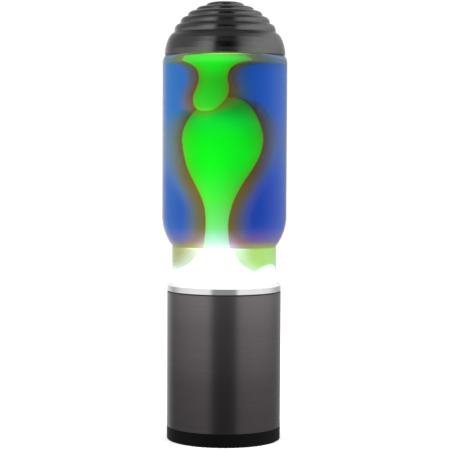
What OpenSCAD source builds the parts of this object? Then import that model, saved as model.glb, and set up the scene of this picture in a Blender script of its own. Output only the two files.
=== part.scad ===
// Lava lamp: a glass bottle of liquid and wax, standing in a cylindrical base that holds a reflector bulb.
// Millimetres, +Z up, origin on the surface under the middle of the foot. The front faces -Y.

/* [Base] */
// Outer diameter of the base sleeve, the foot and the collar ring
base_d = 92.5; // [91.5:0.5:95]
// Height of the top of the foot above the surface
foot_top = 11; // [10:0.5:13]
// Height of the top edge of the metal sleeve
sleeve_top = 120.2; // [118:0.2:122]
// Wall thickness of the metal sleeve
sleeve_t = 1; // [0.8:0.1:1.2]
// Height of the polished collar ring's outer face
collar_h = 4.8; // [4:0.1:5.5]
// How far the rubber pads stand out under the foot
pad_drop = 0.4; // [0.3:0.1:0.8]

/* [Bottle] */
// Outer diameter of the bottle's body
bottle_d = 101; // [99:0.5:102]
// Outer diameter of the bottle's lower neck, which stands in the base
neck_d = 84.7; // [83:0.1:84.9]
// Thickness of the glass
glass_t = 2.6; // [2:0.1:3]
// Height of the corner where the lower neck meets the shoulder
neck_top = 157.5; // [154:0.5:160]
// Radius of the lower shoulder
low_shoulder_r = 41; // [38:1:44]
// Height where the upper shoulder begins
body_top = 305.5; // [304:0.5:305.5]
// Height of the liquid in the bottle
liquid_top = 309.6; // [309.2:0.2:312]

/* [Cap] */
// Height of the cap's rim
cap_rim = 311.8; // [311.8:0.1:313]
// Total height of the lamp
lamp_h = 355; // [354:0.5:358]
// Wall thickness of the cap
cap_t = 0.9; // [0.7:0.1:1]

/* [Electrics] */
// Largest diameter of the reflector bulb
bulb_d = 39; // [35:1:42]
// Length of the bulb from its contact to its face
bulb_l = 64; // [62:1:65]
// Radius of the cord's hole in the grommet
cord_hole_r = 3.4; // [2.5:0.1:3.6]
// Height of the cord's hole at the back
cord_z = 24; // [22:1:28]

/* [Hidden] */
$fn = 96;

gap = 0.1;            // clearance between pieces that rest on or in each other
base_r = base_d / 2;
sleeve_in = base_r - sleeve_t;

// Foot
foot_in = sleeve_in - 2.6;
spigot_top = foot_top + 4;
floor_t = 3.4;
floor_top = pad_drop + floor_t;
pad_r = 5;
pad_ring = 37.5;      // radius of the circle that the pads stand on
pad_pocket = 1.2;
tie_ring = 38.3;      // radius of the circle of the three tie screws
tie_angles = [30, 150, 270];
tie_boss_r = 4;
tie_head_r = 2.8;
tie_head_h = 1.8;
tie_shank_r = 1.5;
screw_play = 0.05;

// Bottle seat and collar
collar_z = sleeve_top + 0.8;
collar_bevel = 1.6;
collar_top = collar_z + collar_h + collar_bevel;
collar_in = neck_d / 2 + 0.65;
seat_floor = sleeve_top - 28.2;
seat_floor_t = 2;
seat_wall_t = 1.1;
seat_hole_r = 30;
cushion_t = 2;
bottle_z = seat_floor + seat_floor_t + cushion_t + gap;
boss_bottom = seat_floor - 12;

// Lampholder and its bracket
bracket_t = 1.2;
bracket_w = 20;
bracket_lift = 1.2;   // height of the two floor bosses under the bracket
bracket_z = floor_top + bracket_lift;
platform_top = bracket_z + 10;
bracket_leg_x = 19;
bracket_end_x = 31;
bracket_screw_x = 25.5;
nipple_r = 5;
nipple_in = 4.1;
holder_z = platform_top;
holder_r = 14;
holder_top = holder_z + 35;
web_z = holder_z + 8; // the insulating web that carries the contacts
web_t = 2;
thread_pitch = 2.82;
thread_r = 6.55;      // mean radius of the lamp thread
thread_depth = 0.25;
shell_r = thread_r + 0.8;

// Bulb
contact_z = web_z + web_t + 1.3;
bulb_top = contact_z + bulb_l;
bulb_r = bulb_d / 2;
bulb_cap_top = holder_top + 1.5;
bulb_wall = 0.8;
bulb_edge_r = 5;
bulb_face_r = 33;
filament_z = bulb_top - 22;

// Wiring
lead_r = 0.9;
lead_x = 2.9;
lead_bend = 4;
block_y = 25;
block_size = [14, 14, 9];
lead_z = floor_top + 4.5;
grommet_r = 5.5;
grommet_flange_r = 7.2;

// Bottle
bottle_r = bottle_d / 2;
neck_r = neck_d / 2;
punt = 3.5;
punt_r = 33;
heel_r = 7;
top_shoulder_r = 8.4;
finish_r = 12.6;      // the bottle's mouth, under the crown
finish_z = body_top + 20;
mouth_z = body_top + 32.5;
mouth_r = 8;

// Cap: the tiers' corners lie on a sphere
dome_r = 47;
dome_z = lamp_h - 48.3;
tier_angles = [60.8, 50.4, 40, 29.6, 19];
tier_lip = 0.3;
tier_steps = 7;
cap_rim_r = 48.9;

// Wax shapes as [radius, height] outlines, each turned about its own upright axis
riser_at = [-2, 10];
riser_shape = [[6, 159], [5.4, 170], [5.3, 178], [6.2, 187], [8.6, 197], [12.4, 208], [16.5, 220],
    [20, 232], [22, 244], [21.8, 255], [19.2, 264], [14.4, 272], [8, 277]];
pendant_at = [-8, -20];
pendant_shape = [[7, 266], [11.6, 269], [13.3, 275], [12.8, 281], [10.9, 287.5], [10.4, 293.5], [11.8, 299],
    [15, 303.2], [20, 306.2]];
top_wax_at = [-3, -6];
top_wax_z = pendant_shape[8][1];
top_wax_r = 27;
top_wax_t = 2.6;
pool_at = [-6, 5];
pool_mound = [[34, 130], [28, 137], [21, 145], [15.5, 152], [11.5, 156.5]];
side_mound_at = [29, -8];
side_mound_r = 13;
side_mound_z = 129;   // height of the middle of the mound, which is part of a ball
coil_ring_r = 24;
coil_turn_r = 3;
coil_wire_r = 0.7;
coil_turns = 30;

// An arc of [radius, height] points about centre c
function arc(c, r, from, to, steps) =
    [for (i = [0:steps]) let (a = from + (to - from) * i / steps) [c[0] + r * cos(a), c[1] + r * sin(a)]];

function backwards(list) = [for (i = [len(list) - 1:-1:0]) list[i]];

// A ring-shaped thread form between two heights, as outline points at a mean radius
function thread(r, z0, z1) =
    let (n = floor((z1 - z0) / thread_pitch * 4))
    [for (i = [0:n]) [r + thread_depth * sin(i * 90), z0 + (z1 - z0) * i / n]];

module turned(points) {
    rotate_extrude() polygon(points);
}

module ring(r_out, r_in, z0, z1) {
    translate([0, 0, z0])
        difference() {
            cylinder(r = r_out, h = z1 - z0);
            translate([0, 0, -1]) cylinder(r = r_in, h = z1 - z0 + 2);
        }
}

module at_angles(angles, r) {
    for (a = angles) rotate(a) translate([r, 0, 0]) children();
}

module cross_recess(size, depth) {
    for (a = [0, 90]) rotate(a) translate([-size / 2, -size / 8, -depth]) cube([size, size / 4, depth + 1]);
}

// ---- Base ----

module foot() {
    color("#151515")
        difference() {
            union() {
                turned([[0, pad_drop], [base_r - 0.6, pad_drop], [base_r - 0.15, pad_drop + 0.15],
                    [base_r, pad_drop + 0.6], [base_r, foot_top], [sleeve_in - gap, foot_top],
                    [sleeve_in - gap, spigot_top], [foot_in + 1, spigot_top],
                    [foot_in, foot_top], [foot_in, floor_top], [0, floor_top]]);
                at_angles(tie_angles, tie_ring)
                    translate([0, 0, floor_top - 0.5]) cylinder(r = tie_boss_r, h = 5);
                for (s = [-1, 1])
                    translate([s * bracket_screw_x, 0, floor_top - 0.5])
                        cylinder(r = 4, h = bracket_lift + 0.5);
            }
            foot_holes();
        }
}

module foot_holes() {
    at_angles([45:90:315], pad_ring) cylinder(r = pad_r + 0.05, h = pad_drop + pad_pocket);
    at_angles(tie_angles, tie_ring) {
        cylinder(r = tie_shank_r + 0.2, h = 20);
        cylinder(r = tie_head_r + 0.3, h = pad_drop + 0.4 + tie_head_h);
    }
    for (s = [-1, 1])
        translate([s * bracket_screw_x, 0, pad_drop + 0.8]) cylinder(r = 1.4 + screw_play, h = 10);
    for (a = [0:30:330])
        rotate(a + 15) vent_slot();
}

module vent_slot() {
    translate([10, -1.2, -1]) cube([9, 2.4, 12]);
    for (x = [10, 19]) translate([x, 0, -1]) cylinder(r = 1.2, h = 12);
}

module foot_pads() {
    color("#2b2b2b")
        at_angles([45:90:315], pad_ring)
            cylinder(r = pad_r, h = pad_drop + pad_pocket - 0.02);
}

module base_sleeve() {
    color("#4c474b")
        difference() {
            ring(base_r, sleeve_in, foot_top + 0.02, sleeve_top);
            translate([0, base_r - 6, cord_z]) rotate([-90, 0, 0]) cylinder(r = grommet_r + 0.1, h = 12);
        }
}

module collar_ring() {
    bevel_z = collar_top - collar_bevel;
    color("#d8d8d8")
        turned([[collar_in, collar_z - 8], [collar_in + 0.95, collar_z - 8], [collar_in + 0.95, collar_z],
            [base_r - 0.4, collar_z], [base_r, collar_z + 0.4], [base_r, bevel_z - 0.15],
            [base_r - 0.1, bevel_z + 0.05], [base_r - 0.3, bevel_z + 0.2],
            [collar_in + 1, collar_top - 0.1], [collar_in + 0.6, collar_top],
            [collar_in, collar_top - 0.5]]);
}

module bottle_seat() {
    wall_in = collar_in + 1;
    shelf_z = seat_floor + seat_floor_t;
    color("#1c1c1c")
        difference() {
            union() {
                turned([[seat_hole_r, seat_floor], [wall_in + seat_wall_t, seat_floor],
                    [wall_in + seat_wall_t, sleeve_top], [base_r - 0.25, sleeve_top],
                    [base_r - 0.25, collar_z - 0.02], [wall_in, collar_z - 0.02],
                    [wall_in, shelf_z], [seat_hole_r + 1, shelf_z],
                    [seat_hole_r + 1, shelf_z + 1], [seat_hole_r, shelf_z + 1]]);
                at_angles(tie_angles, tie_ring)
                    translate([0, 0, boss_bottom]) cylinder(r = tie_boss_r, h = 12.5);
            }
            at_angles(tie_angles, tie_ring)
                translate([0, 0, boss_bottom - 1]) cylinder(r = tie_shank_r + screw_play, h = 12.5);
        }
}

module seat_cushion() {
    color("#c9c4bd")
        ring(40, seat_hole_r + 1.5, seat_floor + seat_floor_t, seat_floor + seat_floor_t + cushion_t);
}

module tie_screws() {
    head_z = pad_drop + 0.4;
    color("#b9b9b4")
        at_angles(tie_angles, tie_ring)
            difference() {
                union() {
                    translate([0, 0, head_z]) cylinder(r = tie_head_r, h = tie_head_h - 0.02);
                    translate([0, 0, head_z]) cylinder(r = tie_shank_r, h = boss_bottom + 10 - head_z);
                }
                translate([0, 0, head_z]) mirror([0, 0, 1]) cross_recess(3.4, 1);
            }
}

module cord_grommet() {
    color("#1a1a1a")
        difference() {
            translate([0, base_r, cord_z]) rotate([-90, 0, 0]) {
                translate([0, 0, -4]) cylinder(r = grommet_r, h = 6);
                translate([0, 0, -1.5]) cylinder(r = grommet_flange_r, h = 3.5);
            }
            difference() {
                translate([0, 0, cord_z - 10]) cylinder(r = base_r + 0.02, h = 20);
                translate([0, base_r, cord_z]) rotate([-90, 0, 0])
                    translate([0, 0, -5]) cylinder(r = grommet_r, h = 8);
            }
            translate([0, base_r, cord_z]) rotate([-90, 0, 0])
                translate([0, 0, -6]) cylinder(r = cord_hole_r, h = 12);
        }
}

// ---- Lampholder ----

module holder_bracket() {
    t = bracket_t;
    color("#a9abad")
        difference() {
            rotate([90, 0, 0])
                linear_extrude(height = bracket_w, center = true)
                    polygon([[-bracket_end_x, bracket_z], [-bracket_leg_x, bracket_z],
                        [-bracket_leg_x, platform_top - t], [bracket_leg_x, platform_top - t],
                        [bracket_leg_x, bracket_z], [bracket_end_x, bracket_z],
                        [bracket_end_x, bracket_z + t], [bracket_leg_x + t, bracket_z + t],
                        [bracket_leg_x + t, platform_top], [-bracket_leg_x - t, platform_top],
                        [-bracket_leg_x - t, bracket_z + t], [-bracket_end_x, bracket_z + t]]);
            translate([0, 0, platform_top - 5]) cylinder(r = nipple_r + screw_play, h = 10);
            for (s = [-1, 1])
                translate([s * bracket_screw_x, 0, 0]) cylinder(r = 1.8, h = 10);
        }
}

module bracket_screws() {
    head_z = bracket_z + bracket_t;
    color("#c4c4c0")
        for (s = [-1, 1])
            translate([s * bracket_screw_x, 0, 0])
                difference() {
                    union() {
                        translate([0, 0, head_z]) cylinder(r = 2.7, h = 1.8);
                        translate([0, 0, pad_drop + 1]) cylinder(r = 1.4, h = head_z - pad_drop);
                    }
                    translate([0, 0, head_z + 1.8]) cross_recess(3.4, 1);
                }
}

module holder_nipple() {
    color("#b8b4a0")
        ring(nipple_r, nipple_in, platform_top - 5, holder_z + 4);
}

module nipple_nut() {
    color("#c9c5b4")
        translate([0, 0, platform_top - bracket_t - 3])
            difference() {
                cylinder(r = 8, h = 2.98, $fn = 6);
                translate([0, 0, -1]) cylinder(r = nipple_r + screw_play, h = 6);
            }
}

module lampholder_body() {
    color("#efe9dc")
        difference() {
            turned([[nipple_r + screw_play, holder_z], [9, holder_z], [10, holder_z + 1],
                [10, holder_z + 4], [holder_r, holder_z + 7], [holder_r, holder_top - 5],
                [holder_r - 1.2, holder_top - 5],
                [holder_r - 1.2, holder_top], [8.1, holder_top], [8.1, web_z + web_t],
                [0, web_z + web_t], [0, web_z], [8.5, web_z], [8.5, holder_z + 4],
                [nipple_r + screw_play, holder_z + 4]]);
            for (s = [-1, 1])
                translate([s * 5, 0, web_z - 1]) cylinder(r = 0.8, h = 4);
        }
}

module screw_shell() {
    color("#c8a44a")
        turned(concat(
            thread(shell_r, web_z + web_t + 2, holder_top - 1.2),
            backwards(thread(shell_r + 0.4, web_z + web_t + 2, holder_top - 1.2))));
}

module centre_contact() {
    z = web_z + web_t;
    color("#c8a44a")
        rotate([90, 0, 0])
            linear_extrude(height = 4, center = true)
                polygon([[-5, z], [3.5, z], [3.5, z + 0.5], [-1, z + 0.5], [1.8, z + 1.1], [1.5, z + 1.25],
                    [-3, z + 0.5], [-5, z + 0.5]]);
}

module holder_terminals() {
    color("#c8a44a")
        for (s = [-1, 1])
            translate([s * 3.2, 0, web_z - 3.8])
                difference() {
                    translate([-2.1, -3, 0]) cube([4.2, 6, 3.78]);
                    translate([s * (lead_x - 3.2), 0, -1]) cylinder(r = lead_r + 0.1, h = 3.6);
                }
}

module terminal_block() {
    color("#ece8dd")
        translate([0, block_y, floor_top])
            difference() {
                translate([-block_size[0] / 2, -block_size[1] / 2, 0.02]) cube(block_size);
                for (s = [-1, 1]) {
                    translate([s * lead_x, -10, lead_z - floor_top]) rotate([-90, 0, 0])
                        cylinder(r = 1.3, h = 20);
                    for (y = [-4, 4])
                        translate([s * lead_x, y, lead_z - floor_top]) cylinder(r = 1.3, h = 10);
                }
            }
}

module terminal_screws() {
    color("#c4c4c0")
        for (s = [-1, 1], y = [-4, 4])
            translate([s * lead_x, block_y + y, lead_z + lead_r + 0.1])
                difference() {
                    cylinder(r = 1.25, h = 3);
                    translate([-2, -0.2, 2.4]) cube([4, 0.4, 1]);
                }
}

// A lead from the terminal block, along the floor, then up through the nipple to its terminal
module lead(side) {
    y_end = block_y - 2;
    z_end = web_z - 1.4;
    translate([side * lead_x, 0, 0]) {
        translate([0, lead_bend, lead_z]) rotate([-90, 0, 0]) cylinder(r = lead_r, h = y_end - lead_bend);
        translate([0, lead_bend, lead_z + lead_bend]) rotate([0, -90, 0]) rotate(180)
            rotate_extrude(angle = 90) translate([lead_bend, 0]) circle(r = lead_r);
        translate([0, 0, lead_z + lead_bend]) cylinder(r = lead_r, h = z_end - lead_z - lead_bend);
    }
}

module live_lead() {
    color("#6b3d22") lead(1);
}

module neutral_lead() {
    color("#2c5fae") lead(-1);
}

// ---- Bulb ----

bulb_neck_r = 7.3;
bulb_shoulder_z = bulb_cap_top + 23;

// The bulb's outline moved inward by t: its neck, its reflector, its rounded edge and its domed face
function bulb_side(t) = concat(
    [[6 - t, bulb_cap_top - 4], [6.3 - t, bulb_cap_top - 1], [bulb_neck_r - t, bulb_cap_top + 3]],
    [for (i = [1:7]) let (s = i / 7)
        [bulb_neck_r - t + (bulb_r - bulb_neck_r) * pow(s, 0.75), bulb_cap_top + 3 + 20 * s]],
    arc([bulb_r - bulb_edge_r, bulb_shoulder_z + 5], bulb_edge_r - t, 0, 60, 4),
    [for (i = [4:-1:0]) let (a = 28 * i / 4)
        [bulb_face_r * sin(a), bulb_top - t - bulb_face_r * (1 - cos(a))]]);

module bulb_glass() {
    color("#e8e8e4") turned(concat(bulb_side(0), backwards(bulb_side(bulb_wall))));
}

module bulb_cap() {
    z0 = contact_z + 4.2;
    color("#cfd0cf")
        turned(concat(
            [[4.6, contact_z + 2.6], [5.0, contact_z + 2.2]],
            thread(thread_r, z0, bulb_cap_top - 4),
            [[7.0, bulb_cap_top - 1.5], [7.7, bulb_cap_top], [7.2, bulb_cap_top],
                [6.45, bulb_cap_top - 1.5]],
            backwards(thread(thread_r - 0.4, z0, bulb_cap_top - 4))));
}

module bulb_insulator() {
    color("#101012")
        turned([[0, contact_z + 1.2], [1.8, contact_z + 1.2], [4.5, contact_z + 2.5],
            [4.5, contact_z + 4.5], [0, contact_z + 4.5]]);
}

module bulb_contact() {
    color("#b9b5ad")
        turned(concat([[0, contact_z]], arc([0, contact_z + 2.4], 2.4, -75, -37, 3),
            [[1.75, contact_z + 1.18], [0, contact_z + 1.18]]));
}

module bulb_stem() {
    color("#dfe6e6") {
        turned([[0, bulb_cap_top - 18], [2.6, bulb_cap_top - 18], [1.8, bulb_cap_top - 10],
            [1.6, bulb_cap_top + 6], [0, bulb_cap_top + 7]]);
        for (a = [0:90:270])
            rotate(a) translate([0, 0, bulb_cap_top + 4]) rotate([0, 34, 0])
                cylinder(r = 0.25, h = (filament_z - bulb_cap_top - 4.6) / cos(34));
    }
}

module filament() {
    r = (filament_z - bulb_cap_top - 4) * tan(34);
    color("#8a8a8a")
        translate([0, 0, filament_z]) rotate(-10)
            rotate_extrude(angle = 290) translate([r, 0]) circle(r = 0.35);
}

// ---- Bottle ----

function low_angle() = acos((neck_r - bottle_r + low_shoulder_r) / low_shoulder_r);
low_shoulder_z = neck_top + low_shoulder_r * sin(low_angle());

// The bottle's outline from its foot's middle to its mouth, moved inward by t
function bottle_side(t) = concat(
    [for (i = [0:4]) let (r = (punt_r - t) * i / 4)
        [r, bottle_z + t + punt * (1 - pow(i / 4, 2))]],
    arc([neck_r - heel_r, bottle_z + heel_r], heel_r - t, -90, 0, 6),
    arc([bottle_r - low_shoulder_r, low_shoulder_z], low_shoulder_r - t, -low_angle(), 0, 8),
    arc([bottle_r - top_shoulder_r, body_top], top_shoulder_r - t, 0, 75, 8));

outer_finish = [[17, finish_z - 4.5], [14, finish_z - 3], [finish_r, finish_z], [finish_r, mouth_z - 5],
    [finish_r + 0.5, mouth_z - 4.5], [finish_r + 0.5, mouth_z - 2], [finish_r - 0.8, mouth_z]];
inner_finish = [[13.5, finish_z - 7.1], [10, finish_z - 5.5], [mouth_r, finish_z - 1], [mouth_r, mouth_z]];

module bottle_glass() {
    color("#cfe0ea", 0.35)
        turned(concat(bottle_side(0), outer_finish, backwards(concat(bottle_side(glass_t), inner_finish))));
}

module crown_cap() {
    top = mouth_z + 1.4;
    color("#c9c9c6")
        turned([[finish_r + 0.85, mouth_z - 2], [finish_r + 1.1, mouth_z - 5],
            [finish_r + 2.6, mouth_z - 5.6], [finish_r + 2.9, mouth_z - 5.2],
            [finish_r + 1.4, mouth_z - 1.5], [finish_r, top],
            [0, top], [0, top - 0.4], [finish_r - 0.3, top - 0.4]]);
}

module crown_liner() {
    color("#e9e9e2")
        translate([0, 0, mouth_z + 0.02]) cylinder(r = finish_r - 0.9, h = 0.9);
}

// The space inside the bottle up to the liquid's surface
module bottle_space(inset) {
    corner = inner_finish[0];
    intersection() {
        turned(concat(bottle_side(glass_t + inset),
            [[corner[0] - inset, corner[1] - inset], [0, corner[1] - inset]]));
        translate([0, 0, bottle_z]) cylinder(r = bottle_r, h = liquid_top - bottle_z);
    }
}

module turned_at(place, points) {
    low = points[0][1];
    high = points[len(points) - 1][1];
    translate([place[0], place[1], 0])
        turned(concat([[0, low]], points, [[0, high]]));
}

function grown(points, g) = [for (i = [0:len(points) - 1])
    [points[i][0] + g, points[i][1] + (i == 0 ? -g : i == len(points) - 1 ? g : 0)]];

module coil_space() {
    translate([0, 0, coil_z()])
        rotate_extrude() translate([coil_ring_r, 0]) circle(r = coil_turn_r + coil_wire_r + 0.5);
}

function coil_z() = bottle_z + glass_t + punt + coil_turn_r + coil_wire_r + 1.2;

// The pool fills the neck to just above the collar and rises to a mound in the middle
module pool_shape(g) {
    pool_level = pool_mound[0][1];
    intersection() {
        bottle_space(0.1 - g / 2);
        union() {
            cylinder(r = bottle_r, h = pool_level - 4 + g);
            turned_at([0, 0], grown([[neck_r, pool_level - 4.5], [35.5, pool_level - 0.5]], g));
            turned_at(pool_at, grown(concat([[34.5, pool_level - 3]], pool_mound), g));
        }
    }
}

module side_mound_shape(g) {
    intersection() {
        bottle_space(0.1 - g / 2);
        translate([side_mound_at[0], side_mound_at[1], side_mound_z]) sphere(r = side_mound_r + g);
        translate([0, 0, pool_mound[0][1] - g]) cylinder(r = bottle_r, h = 40);
    }
}

module wax_pool() {
    color("#f2fff0")
        difference() {
            pool_shape(0);
            coil_space();
        }
}

module wax_riser() {
    color("#18e02a") turned_at(riser_at, riser_shape);
}

module wax_pendant() {
    color("#18d02c")
        union() {
            turned_at(pendant_at, pendant_shape);
            translate([top_wax_at[0], top_wax_at[1], top_wax_z - 0.01])
                cylinder(r = top_wax_r, h = top_wax_t);
        }
}

module wax_side_mound() {
    color("#effbf4")
        difference() {
            side_mound_shape(0);
            pool_shape(0.1);
        }
}

module liquid() {
    color("#2f58c8", 0.5)
        difference() {
            bottle_space(0.05);
            pool_shape(0.2);
            side_mound_shape(0.1);
            turned_at(riser_at, grown(riser_shape, 0.1));
            turned_at(pendant_at, grown(pendant_shape, 0.1));
            translate([top_wax_at[0], top_wax_at[1], top_wax_z - 0.11])
                cylinder(r = top_wax_r + 0.1, h = top_wax_t + 0.2);
        }
}

module heating_coil() {
    color("#b5b7b8")
        for (i = [0:coil_turns - 1])
            rotate(i * 360 / coil_turns) translate([coil_ring_r, 0, coil_z()]) rotate([90, 0, 8])
                rotate_extrude() translate([coil_turn_r, 0]) circle(r = coil_wire_r);
}

// ---- Cap ----

function tier_corner(i) = [dome_r * sin(tier_angles[i]), dome_z + dome_r * cos(tier_angles[i])];

// One tier: a small lip at its foot, then a quarter ellipse up to the next tier's corner
function tier(i) =
    let (c = tier_corner(i), next = i < len(tier_angles) - 1 ? tier_corner(i + 1) : [0, lamp_h],
        w = c[0] - next[0], h = next[1] - c[1])
    concat([[c[0] + tier_lip, c[1]], [c[0] + tier_lip, c[1] + 0.3]],
        [for (k = [0:tier_steps]) let (a = 90 * k / tier_steps)
            [next[0] + w * pow(cos(a), 0.85), c[1] + 0.6 + (h - 0.6) * pow(sin(a), 0.85)]]);

skirt = [[cap_rim_r, cap_rim], [cap_rim_r - 0.35, cap_rim + 4], [cap_rim_r - 1.3, cap_rim + 8.3],
    [cap_rim_r - 2.7, cap_rim + 12.3], [cap_rim_r - 4.1, cap_rim + 15],
    [cap_rim_r - 5.8, cap_rim + 16.9], [tier_corner(0)[0] + 0.6, tier_corner(0)[1] - 0.15]];

cap_outer = concat(skirt, [for (i = [0:len(tier_angles) - 1]) each tier(i)]);

module top_cap() {
    inner = concat([[cap_rim_r - cap_t, cap_rim]],
        [for (p = cap_outer) if (p[1] > cap_rim + 1) [max(0, p[0] - cap_t), p[1] - cap_t]]);
    color("#3a3a3c")
        turned(concat(cap_outer, backwards(inner)));
}

module cap_gasket() {
    c = [bottle_r - top_shoulder_r, body_top];
    wall_r = cap_rim_r - cap_t;
    color("#d9dde0", 0.6)
        turned(concat(arc(c, top_shoulder_r + 0.3, 48, 75, 6),
            [[c[0] + 2.2, cap_rim + 4], [wall_r - 0.65, cap_rim + 4], [wall_r - 0.15, cap_rim + 0.6]]));
}

foot();
foot_pads();
base_sleeve();
collar_ring();
bottle_seat();
seat_cushion();
tie_screws();
holder_bracket();
bracket_screws();
holder_nipple();
nipple_nut();
lampholder_body();
screw_shell();
centre_contact();
holder_terminals();
terminal_block();
terminal_screws();
live_lead();
neutral_lead();
cord_grommet();
bulb_glass();
bulb_cap();
bulb_insulator();
bulb_contact();
bulb_stem();
filament();
bottle_glass();
crown_cap();
crown_liner();
liquid();
wax_pool();
wax_riser();
wax_pendant();
wax_side_mound();
heating_coil();
top_cap();
cap_gasket();
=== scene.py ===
"""Looks of the lava lamp: wax, liquid and painted glow built as meshes, and a material for every piece of the
frame.

Lengths are in millimetres, and mm() turns them to metres.
"""

import math

import bpy
import numpy as np
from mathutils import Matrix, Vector, noise


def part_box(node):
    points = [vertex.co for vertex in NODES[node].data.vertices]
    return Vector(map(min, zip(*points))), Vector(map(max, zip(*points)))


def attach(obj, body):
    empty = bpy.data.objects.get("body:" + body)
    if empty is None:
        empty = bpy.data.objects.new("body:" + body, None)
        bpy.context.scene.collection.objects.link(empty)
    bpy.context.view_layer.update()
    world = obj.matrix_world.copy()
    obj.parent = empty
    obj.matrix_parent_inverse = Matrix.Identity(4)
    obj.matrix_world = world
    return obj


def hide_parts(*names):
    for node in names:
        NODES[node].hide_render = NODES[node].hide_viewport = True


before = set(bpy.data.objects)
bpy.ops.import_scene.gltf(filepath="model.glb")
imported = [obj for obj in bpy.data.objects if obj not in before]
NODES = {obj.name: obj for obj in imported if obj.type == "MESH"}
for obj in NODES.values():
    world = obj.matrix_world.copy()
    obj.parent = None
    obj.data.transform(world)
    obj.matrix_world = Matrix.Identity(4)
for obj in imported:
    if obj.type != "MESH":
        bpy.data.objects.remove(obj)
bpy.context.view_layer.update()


def mm(value):
    return value * 0.001


def node_box(name):
    """Lowest and highest corners of a CAD node, in millimetres."""
    low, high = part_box(name)
    return low * 1000, high * 1000


def wall_radii(name, z_low, z_high):
    """Least and greatest distance from the axis of a CAD node's points between two heights."""
    points = np.array([v.co for v in NODES[name].data.vertices]) * 1000
    near = points[(points[:, 2] > z_low) & (points[:, 2] < z_high)]
    radii = np.hypot(near[:, 0], near[:, 1])
    return float(radii.min()), float(radii.max())


# ---- Sizes, from the frame ----

SLEEVE_LOW, SLEEVE_HIGH = node_box("base_sleeve")
GLASS_LOW, GLASS_HIGH = node_box("bottle_glass")
COIL_LOW, COIL_HIGH = node_box("heating_coil")
RING_TOP = node_box("collar_ring")[1].z
LIQUID_TOP = node_box("liquid")[1].z
POOL_FLOOR = node_box("wax_pool")[0].z + 0.3

# ---- The bottle ----

BODY_R = GLASS_HIGH.x                                   # outside of the wide body
NECK_IN, NECK_R = wall_radii("bottle_glass", 140, 158)  # inside and outside of the lower neck
WALL = NECK_R - NECK_IN
NECK_TOP = 157.5                                        # the corner where the neck meets the lower shoulder
SHOULDER_R = 41.0                                       # radius of the lower shoulder
HEEL_R = 7.0                                            # rounding of the foot's edge
PUNT = 3.5                                              # how far the foot's middle is raised
PUNT_R = 33.0                                           # where the raised part ends
CROWN_R = 8.4                                           # radius of the top shoulder
CROWN_Z = 305.5                                         # where it begins
CROWN_TURN = 75                                         # how far it turns, in degrees
FOOT_INSIDE = GLASS_LOW.z + WALL

# How far the lower shoulder turns before it meets the neck, in radians, and where it meets the wide body
SHOULDER_TURN = math.acos((NECK_R - BODY_R + SHOULDER_R) / SHOULDER_R)
SHOULDER_Z = NECK_TOP + SHOULDER_R * math.sin(SHOULDER_TURN)

# The mouth, as radius and height from the bottle's top
MOUTH = ((17, -17), (14, -15.5), (12.6, -12.5), (12.6, -5), (13.1, -4.5), (13.1, -2), (12.2, -0.3), (11.8, 0),
    (8.3, 0), (8, -0.3), (8, -13.5), (10, -18), (13.5, -19.6))

# ---- What is in the bottle ----

INTO_GLASS = 0.25                                       # how far the liquid's skin lies inside the glass
GLOW_FLOOR = FOOT_INSIDE + 12                           # where the haze begins
GLOW_GAP = 0.5                                          # how far it stays from the wall
GLOW_RISE = 0.9                                         # how far its side rises over the liquid
GLOW_TOP = GLASS_HIGH.z - 20.1                          # where it ends, under the mouth
GLOW_RINGS = 96
POOL_GAP = 0.6                                          # between the pool of wax and the wall
POOL_EDGE = 127                                         # height of the pool's edge, and of its top
POOL_TOP = 129.5
POOL_SIDES = 96
COIL_TURNS = 30
COIL_WIRE_R = 0.7
COIL_STEPS = 20                                         # points along one turn
COIL_SIDES = 8

# Soft bodies as sections: height, middle x, middle y, radius
RISER = ((150, -4.8, 7, 10.4), (157, -4.1, 8, 9.8), (162, -3.9, 8.5, 8.6), (168, -4.0, 9, 7.3),
    (177, -4.0, 10, 6.4), (187, -3.5, 10, 7.2), (197, -3.2, 10, 9.6), (208, -2.9, 10, 13.4),
    (220, -2.2, 10, 17.8), (232, -1.4, 10, 20.8), (244, -1.0, 10, 21.9), (254, -0.8, 10, 20.9),
    (263, -0.4, 10, 17.9), (270, 0.3, 10, 13.8), (275, 1.0, 10, 8.6), (277.5, 1.4, 10, 3.0))
MOUND = ((128, -4.0, 3, 36), (133, -5.0, 4, 28), (138.5, -5.4, 5, 19.5), (144, -4.8, 5, 14),
    (151, -3.9, 6, 10.6), (158.5, -4.0, 6.5, 9))
HANGING = ((266.3, -13, -20, 2.5), (268, -12.6, -20, 6.4), (272, -11.4, -20, 9.6), (278, -9.6, -20, 11.6),
    (286, -8.2, -20, 10.6), (292, -7.9, -19, 9.4), (297.5, -7.6, -18, 10.3), (302, -7.3, -15, 12.8),
    (305.2, -6.4, -11, 17.5), (307.3, -5.0, -8, 23.5), (308.6, -4.2, -7, 28.5))
LUMP = ((126, 27, -8, 13.5), (132, 28, -8, 12.5), (137, 29.5, -8, 10), (141, 31, -8, 6.6),
    (143.2, 32, -8, 2.5))

# ---- Camera ----

CAMERA_PLACE = (0.3, -1283, 239)
CAMERA_PITCH = math.radians(2.888)
CAMERA_ROLL = math.radians(-0.26)
CAMERA_REACH_M = 30
LENS = 126.4
SENSOR = 36


def make_camera():
    """The photo's view: a long lens a little above the lamp's middle, looking slightly down."""
    data = bpy.data.cameras.new("camera")
    data.lens = LENS
    data.sensor_width = SENSOR
    data.clip_end = CAMERA_REACH_M
    camera = bpy.data.objects.new("camera", data)
    camera.location = tuple(mm(c) for c in CAMERA_PLACE)
    camera.rotation_euler = (math.pi / 2 - CAMERA_PITCH, CAMERA_ROLL, 0)
    bpy.context.scene.collection.objects.link(camera)
    bpy.context.scene.camera = camera


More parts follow.
